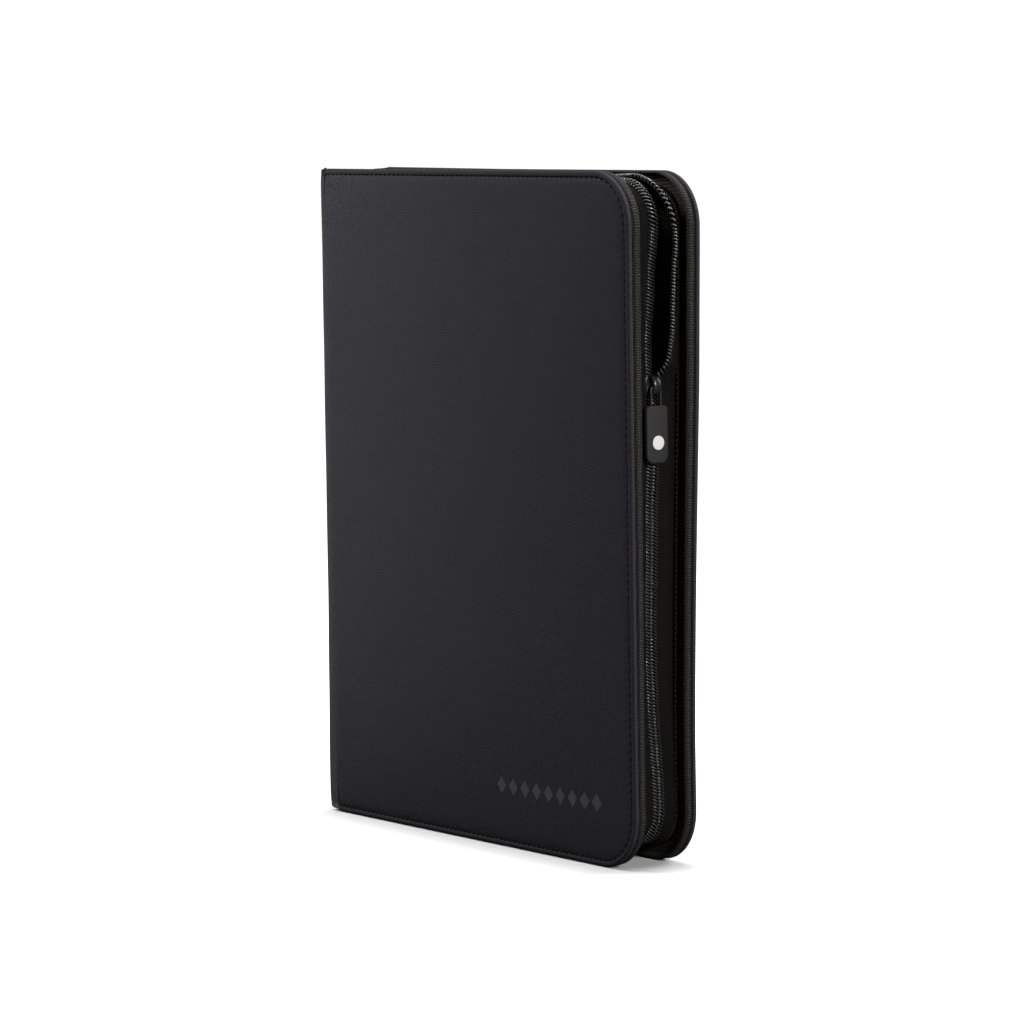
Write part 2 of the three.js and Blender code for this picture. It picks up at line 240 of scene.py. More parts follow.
class Shader:
    """One material's node graph"""

    def __init__(self, name):
        self.material = bpy.data.materials.new(name)
        self.material.use_nodes = True
        self.tree = self.material.node_tree
        self.surface = self.tree.nodes["Principled BSDF"]

    def node(self, kind):
        return self.tree.nodes.new("ShaderNode" + kind)

    def join(self, value, socket):
        if isinstance(value, bpy.types.NodeSocket):
            self.tree.links.new(value, socket)
        else:
            socket.default_value = value

    def put(self, key, value):
        self.join(value, self.surface.inputs[key])

    def math(self, operation, *values):
        node = self.node("Math")
        node.operation = operation
        for value, socket in zip(values, node.inputs):
            self.join(value, socket)
        return node.outputs[0]

    def add(self, a, b):
        return self.math("ADD", a, b)

    def minus(self, a, b):
        return self.math("SUBTRACT", a, b)

    def times(self, a, b):
        return self.math("MULTIPLY", a, b)

    def ramp(self, value, slope, start):
        return self.math("MULTIPLY_ADD", value, slope, start)

    def apart(self, a, b):
        return self.math("ABSOLUTE", self.minus(a, b))

    def wave(self, value):
        """A smooth wave from 0 to 1 that repeats at each whole number"""
        return self.ramp(self.math("SINE", self.times(value, math.tau)), 0.5, 0.5)

    def step(self, value, low, high):
        node = self.node("MapRange")
        node.interpolation_type = "SMOOTHSTEP"
        self.join(value, node.inputs["Value"])
        self.join(low, node.inputs["From Min"])
        self.join(high, node.inputs["From Max"])
        return node.outputs["Result"]

    def cloth(self, layer="cloth"):
        """The distances across and along the cloth, or in from and along its rim, in millimetres"""
        uv = self.node("UVMap")
        uv.uv_map = layer
        split = self.node("SeparateXYZ")
        self.join(uv.outputs[0], split.inputs[0])
        return split.outputs[0], split.outputs[1]

    def attribute(self, name):
        node = self.node("Attribute")
        node.attribute_name = name
        return node.outputs["Fac"]

    def noise(self, scale, detail=2, stretch=(1, 1, 1)):
        place = self.node("TexCoord")
        sizing = self.node("Mapping")
        sizing.inputs["Scale"].default_value = stretch
        node = self.node("TexNoise")
        node.inputs["Scale"].default_value = scale
        node.inputs["Detail"].default_value = detail
        self.join(place.outputs["Object"], sizing.inputs["Vector"])
        self.join(sizing.outputs["Vector"], node.inputs["Vector"])
        return node.outputs["Fac"]

    def mix(self, a, b, factor):
        node = self.node("Mix")
        node.data_type = "RGBA"
        self.join(factor, node.inputs["Factor"])
        self.join(a, node.inputs["A"])
        self.join(b, node.inputs["B"])
        return node.outputs["Result"]

    def mix_value(self, a, b, factor):
        return self.add(a, self.times(factor, self.minus(b, a)))

    def bump(self, height, distance, strength=1.0, normal=None):
        node = self.node("Bump")
        node.inputs["Strength"].default_value = strength
        node.inputs["Distance"].default_value = distance * MM
        self.join(height, node.inputs["Height"])
        if normal is not None:
            self.join(normal, node.inputs["Normal"])
        return node.outputs["Normal"]


def grey(r, g=None, b=None):
    """A colour, which is a neutral grey where only one level is given"""
    return (r, r if g is None else g, r if b is None else b, 1.0)


def twill_material(name, dark, light, pitch=1.12, rough=0.4, relief=0.1, knot=0.15, level=0.3,
                   rim=1.35, plain=0.85, beads=None, emboss=False, tint=(0.82, 0.81, 1.0, 1.0)):
    """Imitation leather embossed with a fine twill"""
    s = Shader(name)
    p, q = s.cloth()
    rows = s.times(s.minus(p, q), math.sqrt(0.5) / pitch)
    steps = s.times(s.add(p, q), math.sqrt(0.5) / (1.7 * pitch))
    knots = s.wave(s.add(steps, s.times(s.math("FLOOR", rows), 0.5)))
    height = s.times(s.wave(rows), s.ramp(knots, knot, 1 - knot))
    smooth = s.attribute("border")
    height = s.mix_value(height, 0.5, s.times(smooth, plain))
    grain = s.noise(2600, 2)
    cloud = s.noise(14, 3)
    # Painted shade: the colour follows the twill's height, darker in its valleys and lighter on its
    # ridges, besides a random cloud of tone
    tone = s.add(s.times(height, 1.05), s.times(cloud, 0.15))
    # Painted light and shade: rim scales the colour along the border, lighter on the covers' and spine's
    # edges and over the hinge cloth, darker on the lining's hem (0.2)
    tone = s.times(tone, s.ramp(smooth, rim - 1, 1.0))
    colour = s.mix(dark, light, tone)
    if beads:
        middle, half, step, raised, shade = beads
        edge, run = s.cloth("seam")
        off = s.apart(edge, middle)
        near = s.minus(1.0, s.step(off, half * 0.5, half))
        bead = s.times(near, s.wave(s.times(run, 1 / step)))
        # Beads take their own colour; the ladder's near-black on the covers' rims is painted shade in its
        # recessed dots
        colour = s.mix(colour, shade, s.times(bead, 0.9))
        height = s.mix_value(height, bead if raised else s.minus(1.0, bead), near)
    roughness = s.ramp(cloud, 0.1, rough)
    roughness = s.ramp(s.minus(1.0, height), 0.42, roughness)
    roughness = s.ramp(smooth, 0.12, roughness)
    normal = s.bump(grain, 0.02, 0.5)
    if emboss:
        mask = lozenges(s, p, q)
        colour = s.mix(colour, grey(0.085, 0.081, 0.09), s.times(mask, 0.8))
        height = s.times(height, s.ramp(mask, -0.8, 1.0))
        normal = s.bump(mask, -0.35, 1.0, normal)
    normal = s.bump(height, relief, 1.0, normal)
    s.put("Base Color", colour)
    s.put("Roughness", roughness)
    s.put("Specular IOR Level", level)
    s.put("Specular Tint", tint)
    s.put("Normal", normal)
    return s.material


def lozenges(s, p, q):
    """A row of plain pressed lozenges, low on the zip side"""
    across = s.times(s.minus(p, LOZENGES_FROM), 1 / LOZENGE_PITCH)
    inside = s.math("LESS_THAN", s.apart(across, LOZENGES / 2), LOZENGES / 2)
    near = s.apart(s.math("FRACT", across), 0.5)
    tall = s.times(s.apart(q, LOZENGE_MIDDLE), 1 / LOZENGE_HEIGHT)
    return s.times(inside, s.minus(1.0, s.step(s.add(near, tall), 0.36, 0.41)))


def tape_material(name, dark, light, column=9.2, pitch=1.5):
    """Herringbone-woven zip tape"""
    s = Shader(name)
    p, q = s.cloth()
    fold = s.math("PINGPONG", p, column / 2)
    ribs = s.wave(s.times(s.add(q, s.times(fold, 1.8)), 1 / pitch))
    threads = s.wave(s.times(p, 1 / 0.8))
    height = s.times(ribs, s.ramp(threads, 0.3, 0.7))
    fuzz = s.noise(3800, 3)
    # Painted shade: the colour follows the weave's height, near black in its grooves and lighter on its
    # ribs, besides random fuzz
    tone = s.times(s.math("POWER", height, 1.6), s.ramp(fuzz, 0.9, 0.55))
    s.put("Base Color", s.mix(dark, light, tone))
    s.put("Roughness", s.ramp(fuzz, 0.15, 0.72))
    s.put("Specular IOR Level", 0.04)
    s.put("Normal", s.bump(height, 0.35, 1.0, s.bump(fuzz, 0.05, 0.6)))
    return s.material


def moulded_material(name, dark, light, rough, coat=0.0, grain=0.02, level=0.5, scale=1800):
    """Moulded or plated parts: slight unevenness in tone and gloss, and a fine grain"""
    s = Shader(name)
    fine = s.noise(scale, 2)
    cloud = s.noise(60, 3)
    s.put("Base Color", s.mix(dark, light, cloud))
    s.put("Roughness", s.ramp(cloud, 0.12, rough))
    s.put("Specular IOR Level", level)
    s.put("Coat Weight", coat)
    s.put("Coat Roughness", 0.08)
    s.put("Normal", s.bump(fine, grain, 0.5))
    return s.material


def page_material(name):
    """Clear pocket film over a black core, with welded seams and faint ripples"""
    s = Shader(name)
    p, q = s.cloth()
    seam = s.attribute("border")
    ribs = s.times(s.wave(s.times(s.add(p, q), 1 / 1.2)), seam)
    ripple = s.noise(24, 2, (1, 1, 0.35))
    tone = s.add(s.times(ripple, 0.5), s.times(seam, 0.4))
    s.put("Base Color", s.mix(grey(0.008, 0.008, 0.009), grey(0.035, 0.035, 0.037), tone))
    s.put("Roughness", s.ramp(seam, 0.3, 0.22))
    s.put("Coat Weight", 0.8)
    s.put("Coat Roughness", 0.06)
    s.put("Normal", s.bump(ribs, 0.08, 0.8, s.bump(ripple, 1.6, 0.5)))
    return s.material


def fibre_material(name, dark, light, scale=900, stretch=(1, 1, 1), rough=0.9):
    """Board or foam, flecked with fibres or cells"""
    s = Shader(name)
    fleck = s.noise(scale, 4, stretch)
    s.put("Base Color", s.mix(dark, light, fleck))
    s.put("Roughness", rough)
    s.put("Normal", s.bump(fleck, 0.15, 0.7))
    return s.material


# Mesh making

# How far the back cover's zip side stands from its CAD place in Y, at each height
DRAW_HEIGHTS = (0, 33, 68, 102, 137, 172, 206, 241, 276, 310, 345)
DRAW = (-3.5, -3.5, -3.5, -2.8, -1.85, -0.7, 0.5, 1.75, 2.5, 3.2, 3.4)


def settle(points):
    """The closed zip draws the back cover in low down, and it stands open higher up"""
    points = np.array(points, float)
    across = np.clip((points[:, 0] - LEFT) / WIDTH, 0, 1.05)
    through = (points[:, 1] - FRONT) / THICKNESS
    points[:, 1] += across * through * ease(points[:, 2], DRAW_HEIGHTS, DRAW)
    points[:, 0] += 0.7 * across**4 * (1 - through)
    drop = 0.65 * through * np.clip(across * 2.5, 0, 1)
    points[:, 2] -= drop * np.clip(points[:, 2] / TOP, 0, 1)
    return points


def make(name, points, faces, material, cloth=None, border=None, loose=False, seam=None):
    """A piece with cloth and seam distances and border shares at its points. One that is loose
    keeps its place when the back cover settles"""
    mesh = bpy.data.meshes.new(name)
    placed = points if loose else settle(points)
    mesh.from_pydata((np.asarray(placed) * MM).tolist(), [], [tuple(map(int, f)) for f in faces])
    index = np.empty(len(mesh.loops), np.int32)
    mesh.loops.foreach_get("vertex_index", index)
    for key, values in (("cloth", cloth), ("seam", seam)):
        if values is not None:
            layer = mesh.uv_layers.new(name=key)
            layer.data.foreach_set("uv", np.asarray(values, np.float32)[index].ravel())
    if border is not None:
        layer = mesh.attributes.new("border", "FLOAT", "POINT")
        layer.data.foreach_set("value", np.asarray(border, np.float32))
    mesh.materials.append(material)
    mesh.shade_smooth()
    return add_object(name, mesh)


def outward(piece):
    """Turns every face of a closed piece to look outwards"""
    work = bmesh.new()
    work.from_mesh(piece.data)
    bmesh.ops.recalc_face_normals(work, faces=work.faces)
    work.to_mesh(piece.data)
    work.free()


def hold(piece, body, nodes=(), slot=None):
    """Fixes a piece to a body and hides the CAD nodes that it stands for. slot is not used"""
    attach(piece, body)
    if nodes:
        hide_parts(*nodes)


def grid_faces(rows, columns, wrap_rows=False, wrap_columns=False, start=0):
    """The faces between rows of points, whose first point is number start"""
    faces = []
    for j in range(rows if wrap_rows else rows - 1):
        for i in range(columns if wrap_columns else columns - 1):
            a = j * columns + i
            b = j * columns + (i + 1) % columns
            c = ((j + 1) % rows) * columns
            faces.append((start + a, start + b, start + c + (i + 1) % columns, start + c + i))
    return faces


def joined_sheets(rows, columns):
    """The faces of two sheets of points, one after the other, that are joined round their rims"""
    under = rows * columns
    number = np.arange(under).reshape(rows, columns)
    rim = [*number[0], *number[1:, -1], *number[-1, -2::-1], *number[-2:0:-1, 0]]
    faces = grid_faces(rows, columns) + grid_faces(rows, columns, start=under)
    return faces + [(a, b, under + b, under + a) for a, b in zip(rim, rim[1:] + rim[:1])]


def lattice(across, upward):
    """The crossing points of lines at these distances across and upward"""
    return np.stack(np.meshgrid(across, upward, indexing="ij"), -1).reshape(-1, 2)


def filled(outline, places, start):
    """Faces that fill an outline, with places inside it. start is its first point's number"""
    flat = np.concatenate([outline, places])
    edges = [(i, (i + 1) % len(outline)) for i in range(len(outline))]
    found = delaunay_2d_cdt([Vector(p) for p in flat], edges, [], 1, 1e-6)
    if len(found[0]) != len(flat):
        raise ValueError("the middle gained points")
    return [tuple(start + i for i in face) for face in found[2]]


def node_box(node):
    """A CAD node's lowest and highest corners, in millimetres"""
    return (np.array(corner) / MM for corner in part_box(node))


def closed_grid(rows, columns, start=0):
    """The faces of a tube of rows, with both of its ends closed"""
    last = start + (rows - 1) * columns
    ends = [tuple(range(start, start + columns)), tuple(range(last, last + columns))]
    return grid_faces(rows, columns, wrap_columns=True, start=start) + ends


def circle(angle):
    return np.stack([np.cos(angle), np.sin(angle)], -1)


def unit(vectors):
    return vectors / np.linalg.norm(vectors, axis=-1, keepdims=True)


def line(a, b, count):
    share = np.linspace(0, 1, count, endpoint=False)[:, None]
    return np.array(a) * (1 - share) + np.array(b) * share


def arc(centre, radius, start, count):
    angle = np.radians(start + 90 * np.arange(count) / count)
    return np.array(centre) + radius * circle(angle)


COUNT_RUN = 58 * STITCH_STEPS
COUNT_ARC = 9 * STITCH_STEPS
COUNT_SIDE = 73 * STITCH_STEPS
COUNT_SPINE = 85 * STITCH_STEPS


def ring(inset, spine):
    """A cover's outline in X and Z. spine is its X at the bottom and at the top of the spine side"""
    low, high = spine
    right, bottom, top = RIGHT - inset, inset, TOP - inset
    r, s = max(CORNER - inset, 0.5), 1.2
    return np.concatenate([
        line((low + s, bottom), (right - r, bottom), COUNT_RUN),
        arc((right - r, bottom + r), r, -90, COUNT_ARC),
        line((right, bottom + r), (right, top - r), COUNT_SIDE),
        arc((right - r, top - r), r, 0, COUNT_ARC),
        line((right - r, top), (high + s, top), COUNT_RUN),
        arc((high + s, top - s), s, 90, STITCH_STEPS),
        line((high, top - s), (low, bottom + s), COUNT_SPINE),
        arc((low + s, bottom + s), s, 180, STITCH_STEPS),
    ])


# The way in along Y from each cover's face
SIGN = {"front": 1, "back": -1}


def stood(flat, y):
    """Places in X and Z, put at y"""
    return np.insert(flat, 1, y, axis=1)


def side_y(side, depth):
    """A place in Y at a depth from a cover's face"""
    return FRONT + depth if side == "front" else BACK - depth


def cover_shell(side, rows, spine_of, centre_depth, spacing=5.0, pad=None):
    """A cover's layer: rows of (inset, depth, pucker, border) from its hidden rim to its middle,
    which is filled in"""
    rings = [ring(row[0], spine_of(row[0])) for row in rows]
    count = len(rings[0])
    phase = (np.arange(count) % STITCH_STEPS) / STITCH_STEPS
    hole = np.exp(-0.5 * (np.minimum(phase, 1 - phase) / PUCKER_WIDTH) ** 2)
    run = np.arange(count) * STITCH / STITCH_STEPS
    reach = [rows[-1][0]]
    for near, far in zip(rows[-2::-1], rows[:0:-1]):
        reach.append(reach[-1] - math.hypot(near[0] - far[0], near[1] - far[1]))
    points, cloth, border, seam = [], [], [], []
    for row, outline, spread in zip(rows, rings, reach[::-1]):
        depth = row[1] + row[2] * hole
        if pad is not None and row[0] > STITCH_INSET:
            depth = depth - pad(outline)
        points.append(stood(outline, side_y(side, depth)))
        cloth.append(ring(spread, spine_of(spread)))
        border.append(np.full(count, row[3]))
        seam.append(np.stack([np.full(count, spread), run], -1))
    inner = rings[-1]
    low, high = inner.min(0) + spacing, inner.max(0) - spacing / 2
    middle = lattice(np.arange(low[0], high[0], spacing), np.arange(low[1], high[1], spacing))
    middle = middle[inside(inner, middle, 2.0)]
    faces = grid_faces(len(rings), count, wrap_columns=True)
    faces += filled(inner, middle, (len(rings) - 1) * count)
    depth = np.full(len(middle), float(centre_depth))
    if pad is not None:
        depth = depth - pad(middle)
    points.append(stood(middle, side_y(side, depth)))
    cloth.append(middle)
    border.append(np.zeros(len(middle)))
    seam.append(np.full((len(middle), 2), FAR_FROM_RIM))
    points, cloth, border, seam = (np.concatenate(v) for v in (points, cloth, border, seam))
    return points, faces, cloth * (SIGN[side], 1), border, seam


def inside(outline, places, margin):
    """Which places are inside a cover's outline, with its corners rounded on the zip side"""
    low, high = outline.min(0) + margin, outline.max(0) - margin
    within = ((places > low) & (places < high)).all(1)
    past_x = places[:, 0] - (high[0] - INNER_CORNER)
    past_z = np.abs(places[:, 1] - (low[1] + high[1]) / 2) - ((high[1] - low[1]) / 2 - INNER_CORNER)
    return within & ((past_x <= 0) | (past_z <= 0) | (np.hypot(past_x, past_z) < INNER_CORNER))


def groove_spine(inset):
    """The skin's X on the spine side, at the bottom and at the top, where its groove slants"""
    shift = inset - STITCH_INSET if inset >= STITCH_INSET else 0.1 * (inset - STITCH_INSET)
    return GROOVE_LOW + shift, GROOVE_HIGH + shift


def panel_spine(inset):
    """The same for the lining, whose spine side is upright"""
    return LEFT + 6.0 + inset, LEFT + 6.0 + inset


# A cover's skin and its lining, as rows for cover_shell
SKIN_ROWS = [
    (1.5, 3.1, 0, 1), (0.6, 3.12, 0, 1), (0.2, 3.0, 0, 1), (0.02, 2.7, 0, 1), (0.0, 2.1, 0, 1),
    (0.08, 1.5, 0, 1), (0.32, 1.0, 0, 1), (0.75, 0.7, 0, 1), (1.2, 0.56, 0, 1), (1.6, 0.53, 0, 1),
    (2.0, 0.56, 0.02, 1), (2.45, 0.64, 0.1, 1), (2.75, 0.76, 0.35, 0.8), (3.0, 0.84, 0.6, 0.6),
    (3.3, 0.8, 0.45, 0.4), (3.7, 0.7, 0.3, 0.2), (4.3, 0.6, 0.14, 0), (5.2, 0.46, 0.05, 0),
    (6.6, 0.36, 0, 0), (9.0, 0.3, 0, 0), (12, 0.3, 0, 0), (16, 0.3, 0, 0), (20, 0.3, 0, 0),
]
PANEL_ROWS = [
    (1.8, 3.24, 0, 1), (1.1, 3.5, 0, 1), (0.55, 4.1, 0, 1), (0.32, 4.5, 0, 1), (0.22, 5.1, 0, 1),
    (0.2, 5.9, 0, 1), (0.22, 6.8, 0, 1), (0.35, 7.6, 0, 1), (0.65, 8.2, 0, 1), (1.1, 8.5, 0, 1),
    (1.5, 8.3, 0, 0.8), (1.9, 7.6, 0, 0.6), (2.2, 6.7, 0, 0.3), (2.6, 6.15, 0, 0),
    (3.2, 5.98, 0, 0), (6.0, 6.0, 0, 0), (12, 6.0, 0, 0), (20, 6.0, 0, 0),
]


def cloth_rise(flat, held, faces):
    """How far cloth that is held at some of its points rises under an even pressure"""
    mesh = bpy.data.meshes.new("pad_trial")
    mesh.from_pydata((stood(flat, 0) * MM).tolist(), [], faces)
    trial = add_object("pad_trial", mesh)
    pins = trial.vertex_groups.new(name="pins")
    pins.add([int(i) for i in np.nonzero(held)[0]], 1.0, "REPLACE")
    cloth = trial.modifiers.new("cloth", "CLOTH")
    settings = cloth.settings
    settings.quality = 6
    settings.mass = 0.3
    settings.vertex_group_mass = "pins"
    settings.tension_stiffness = settings.compression_stiffness = 18
    settings.bending_stiffness = 0.6
    settings.use_pressure = True
    settings.uniform_pressure_force = 1.2
    settings.effector_weights.gravity = 0
    for step in range(1, 21):
        bpy.context.scene.frame_set(step)
    solved = trial.evaluated_get(bpy.context.evaluated_depsgraph_get())
    moved = np.empty(len(flat) * 3, np.float32)
    solved.data.vertices.foreach_get("co", moved)
    rise = np.abs(moved.reshape(-1, 3)[:, 1]) / MM
    bpy.context.scene.frame_set(1)
    bpy.data.objects.remove(trial)
    bpy.data.meshes.remove(mesh)
    return rise


def swell_pad():
    """A cloth simulation of a cover's face: cloth held along its stitching and pushed out by the
    foam. Returns a function from places on the cover to how far the cloth stands out there"""
    low = np.array([GROOVE_LOW, STITCH_INSET])
    high = np.array([RIGHT - STITCH_INSET, TOP - STITCH_INSET])
    nx, nz = 55, 71
    x, z = np.meshgrid(np.linspace(low[0], high[0], nx), np.linspace(low[1], high[1], nz))
    flat = np.stack([x.ravel(), z.ravel()], -1)
    held = ~inside(ring(STITCH_INSET, groove_spine(STITCH_INSET)), flat, 1.5)
    out = cloth_rise(flat, held, grid_faces(nz, nx))
    out = (PAD_CAP * (1 - np.exp(-out / PAD_CAP))).reshape(nz, nx)

    def pad(places):
        u = np.clip((places[:, 0] - low[0]) / (high[0] - low[0]), 0, 1) * (nx - 1)
        v = np.clip((places[:, 1] - low[1]) / (high[1] - low[1]), 0, 1) * (nz - 1)
        i, j = np.minimum(u.astype(int), nx - 2), np.minimum(v.astype(int), nz - 2)
        a, b = u - i, v - j
        return (
            out[j, i] * (1 - a) * (1 - b) + out[j, i + 1] * a * (1 - b)
            + out[j + 1, i] * (1 - a) * b + out[j + 1, i + 1] * a * b
        )

    return pad


def add_cover_skin(side):
    points, faces, cloth, border, seam = cover_shell(side, SKIN_ROWS, groove_spine, 0.3, pad=pad)
    name, look = f"{side}_cover_cloth", looks[f"{side}_skin"]
    piece = make(name, points, faces, look, cloth, border, seam=seam)
    hold(piece, f"{side}_cover", [f"{side}_cover_skin"], "skin")


def add_inner_panel(side):
    points, faces, cloth, border, seam = cover_shell(side, PANEL_ROWS, panel_spine, 6.0, 8.0)
    piece = make(f"{side}_inner_lining", points, faces, looks["lining"], cloth, border, seam=seam)
    hold(piece, f"{side}_cover", [f"{side}_inner_panel"], "lining")


def add_layer(side, name, node, slot, material, depth, thickness):
    """A flat layer hidden inside a cover"""
    inset, bevel = 2.0, (0.3, 0.15)
    rows = [
        (inset + bevel[0], depth), (inset, depth + bevel[1]),
        (inset, depth + thickness - bevel[1]), (inset + bevel[0], depth + thickness),
    ]
    rings = [ring(row[0], panel_spine(row[0]))[::STITCH_STEPS] for row in rows]
    points = np.concatenate([
        stood(outline, side_y(side, row[1])) for outline, row in zip(rings, rows)
    ])
    piece = make(name, points, closed_grid(len(rows), len(rings[0])), material)
    outward(piece)
    hold(piece, f"{side}_cover", [node], slot)


def capsules(starts, ends, radius, out, sag):
    """Short threads from starts to ends that bow outwards and dip at their ends"""
    steps, sides = 5, 6
    share = np.linspace(0, 1, steps)
    dip = sag * (np.sin(share * math.pi) - 1)
    thick = radius * np.sqrt(1 - (2 * share - 1) ** 2 * 0.9)
    around = circle(np.arange(sides) * math.tau / sides)
    cross = unit(np.cross(ends - starts, out))
    middle = starts[:, None] + (ends - starts)[:, None] * share[:, None] + out * dip[:, None]
    spokes = cross[:, None] * around[:, :1] + out * around[:, 1:] * 0.8
    rim = middle[:, :, None] + spokes[:, None] * thick[:, None, None]
    faces = [
        face for i in range(len(starts)) for face in closed_grid(steps, sides, i * steps * sides)
    ]
    return rim.reshape(-1, 3), faces


def add_cover_stitches(side):
    """Threads that come up a little way past one hole and go down a little way short of the next"""
    outline = ring(STITCH_INSET, groove_spine(STITCH_INSET))[::STITCH_STEPS]
    holes = stood(outline, side_y(side, STITCH_DEPTH))
    ahead = np.roll(holes, -1, axis=0) - holes
    starts, ends = holes + ahead * STITCH_GAP, holes + ahead * (1 - STITCH_GAP)
    out = np.array([0, -SIGN[side], 0.0])
    points, faces = capsules(starts, ends, 0.55, out, 0.4)
    piece = make(f"{side}_cover_stitching", points, faces, looks["thread"])
    hold(piece, f"{side}_cover", slot="skin")


# The zip's line and tapes

def along(s):
    """Points of the outline at distances s along the zip's line, and the outward direction there"""
    s = np.asarray(s, float)
    a, b, c, d = RUN, SIDE_FROM, SIDE_FROM + SIDE, SIDE_FROM + SIDE + ARC
    turn = np.interp(s, (a, b, c, d), (-90, 0, 0, 90))
    out = circle(np.radians(turn))
    right = RIGHT - CORNER
    x = np.select([s < a, s < d], [LEFT + ZIP_START + s, right + 0 * s], right - (s - d))
    z = np.select([s < b, s < c], [CORNER + 0 * s, CORNER + s - b], TOP - CORNER)
    return np.stack([x, z], -1) + CORNER * out, out


def zip_points(s, inset, y):
    """Places at distances s along the zip's line, an inset from the outline"""
    base, out = along(s)
    return stood(base - out * inset[:, None], y)


def ease(s, places, values):
    """Values at places along s, joined smoothly"""
    s = np.asarray(s, float)
    places, values = np.asarray(places, float), np.asarray(values, float)
    slopes = np.gradient(values, places)
    i = np.clip(np.searchsorted(places, s) - 1, 0, len(places) - 2)
    h = places[i + 1] - places[i]
    t = np.clip((s - places[i]) / h, 0, 1)
    a, b = values[i], values[i + 1]
    m, n = slopes[i] * h, slopes[i + 1] * h
    return (
        a * (2 * t**3 - 3 * t**2 + 1) + m * (t**3 - 2 * t**2 + t)
        + b * (-2 * t**3 + 3 * t**2) + n * (t**3 - t**2)
    )


# How far each tape leans outwards, in degrees, at distances up the side and past it
LEAN_PLACES = (200, 214, 222, 235, 254, 271, 282, 289, 294, 299, 304, 310, 318, 330, 360, 420, 540)
LEAN_BACK = (0, 2, 29, 41, 45, 47, 50, 49, 46, 41, 38, 34, 33, 31, 24, 14, 9)
LEAN_FRONT = (0, 0, -1, -3, 2, 4, 12, 15, 16, 17, 18, 21, 24, 28, 23, 14, 9)

# Where the closed coil wanders in Y, and how far it bulges outwards
WANDER_PLACES = (-250, -120, -40, -10, 6, 31, 56, 81, 106, 131, 156, 170, 190, 214)
WANDER = (0, 0.6, 1.4, 2.6, 3.2, 2.0, 0.3, -0.7, -0.6, -0.1, 0.1, 0.9, 0.3, 0)
BULGE = (0, 0, 0.8, 1.3, 1.1, 0.7, 0.3, 0, 0, 0, 0, 0, 0, 0)


def zip_section(side, s):
    """Across the zip at distances s: each tape's root and tip, and its direction at the tip"""
    up = s - SIDE_FROM
    sign = SIGN[side]
    lean = np.radians(ease(up, LEAN_PLACES, LEAN_FRONT if side == "front" else LEAN_BACK))
    lean = np.where(up < LEAN_PLACES[0], 0, lean)
    closed = up < ZIP_OPEN_FROM
    wander = np.where(closed, ease(up, WANDER_PLACES, WANDER), 0)
    bulge = np.where(closed, ease(up, WANDER_PLACES, BULGE), 0)
    root_y = np.full_like(s, side_y(side, ROOT_DEPTH))
    root_n = np.full_like(s, ROOT_INSET)
    free = (ZIP_REACH, ZIP_REACH, TAPE_LENGTH, TAPE_LENGTH, ZIP_REACH)
    reach = np.where(closed, ZIP_REACH, ease(up, (210, 222, 260, 400, 540), free))
    tip_y = root_y + sign * reach * np.cos(lean) + wander
    tip_n = root_n - reach * np.sin(lean) - bulge
    direction = np.stack([-np.sin(lean), sign * np.cos(lean)], -1)
    return root_n, root_y, tip_n, tip_y, direction


def add_tape(side):
    """A tape that sags between its root and its coil, with a few wrinkles"""
    s = np.arange(0, ZIP_LENGTH + 0.1, 1.2)
    root_n, root_y, tip_n, tip_y, _ = zip_section(side, s)
    chord = np.hypot(tip_n - root_n, tip_y - root_y)
    slack = np.clip(TAPE_LENGTH - chord, 0, None)
    sag = np.sqrt(3 * chord * slack / 8) + 0.5
    wrinkle = 0.25 * np.sin(s / 7.3) + 0.2 * np.sin(s / 3.1 + 1.0)
    hang = (sag + wrinkle) * SIGN[side] / chord
    steps = 11
    points, cloth = [], []
    for surface in (0, TAPE_THICK):
        for share in np.linspace(0, 1, steps):
            bow = 4 * share * (1 - share) * hang
            n = root_n + (tip_n - root_n) * share - (tip_y - root_y) * bow
            y = root_y + (tip_y - root_y) * share + (tip_n - root_n) * bow
            points.append(zip_points(s, n + surface, y))
            cloth.append(np.stack([np.full_like(s, share * TAPE_LENGTH), s], -1))
    points, cloth = np.concatenate(points), np.concatenate(cloth)
    faces = joined_sheets(steps, len(s))
    piece = make(f"{side}_zip_tape_weave", points, faces, looks["tape"], cloth)
    outward(piece)
    hold(piece, f"{side}_cover", [f"{side}_zip_tape"], "tape")


def coil_frame(side, s):
    """A coil half's centre line, and its directions along, across and outwards"""
    _, _, tip_n, tip_y, direction = zip_section(side, s)
    centre = zip_points(s, tip_n, tip_y)
    _, out = along(s)
    ahead = unit(np.gradient(centre, axis=0))
    inward = -out * direction[:, :1]
    across = np.column_stack([inward[:, 0], direction[:, 1], inward[:, 1]])
    facing = np.cross(ahead, across)
    flip = np.sign(facing[:, 0] * out[:, 0] + facing[:, 2] * out[:, 1])
    facing *= np.where(flip == 0, 1, flip)[:, None]
    return centre, ahead, across, facing


def tube(centre, radius, sides, flat, across):
    """A closed tube along a line of points, with its broad side across and flattened the other way"""
    ahead = unit(np.gradient(centre, axis=0))
    other = unit(np.cross(ahead, across))
    across = np.cross(other, ahead)
    angle = np.arange(sides) * math.tau / sides
    radius = np.broadcast_to(radius, (len(centre),))
    rim = (
        centre[:, None]
        + across[:, None] * np.cos(angle)[None, :, None] * radius[:, None, None]
        + other[:, None] * (np.sin(angle) * flat)[None, :, None] * radius[:, None, None]
    )
    return rim.reshape(-1, 3), closed_grid(len(centre), sides)


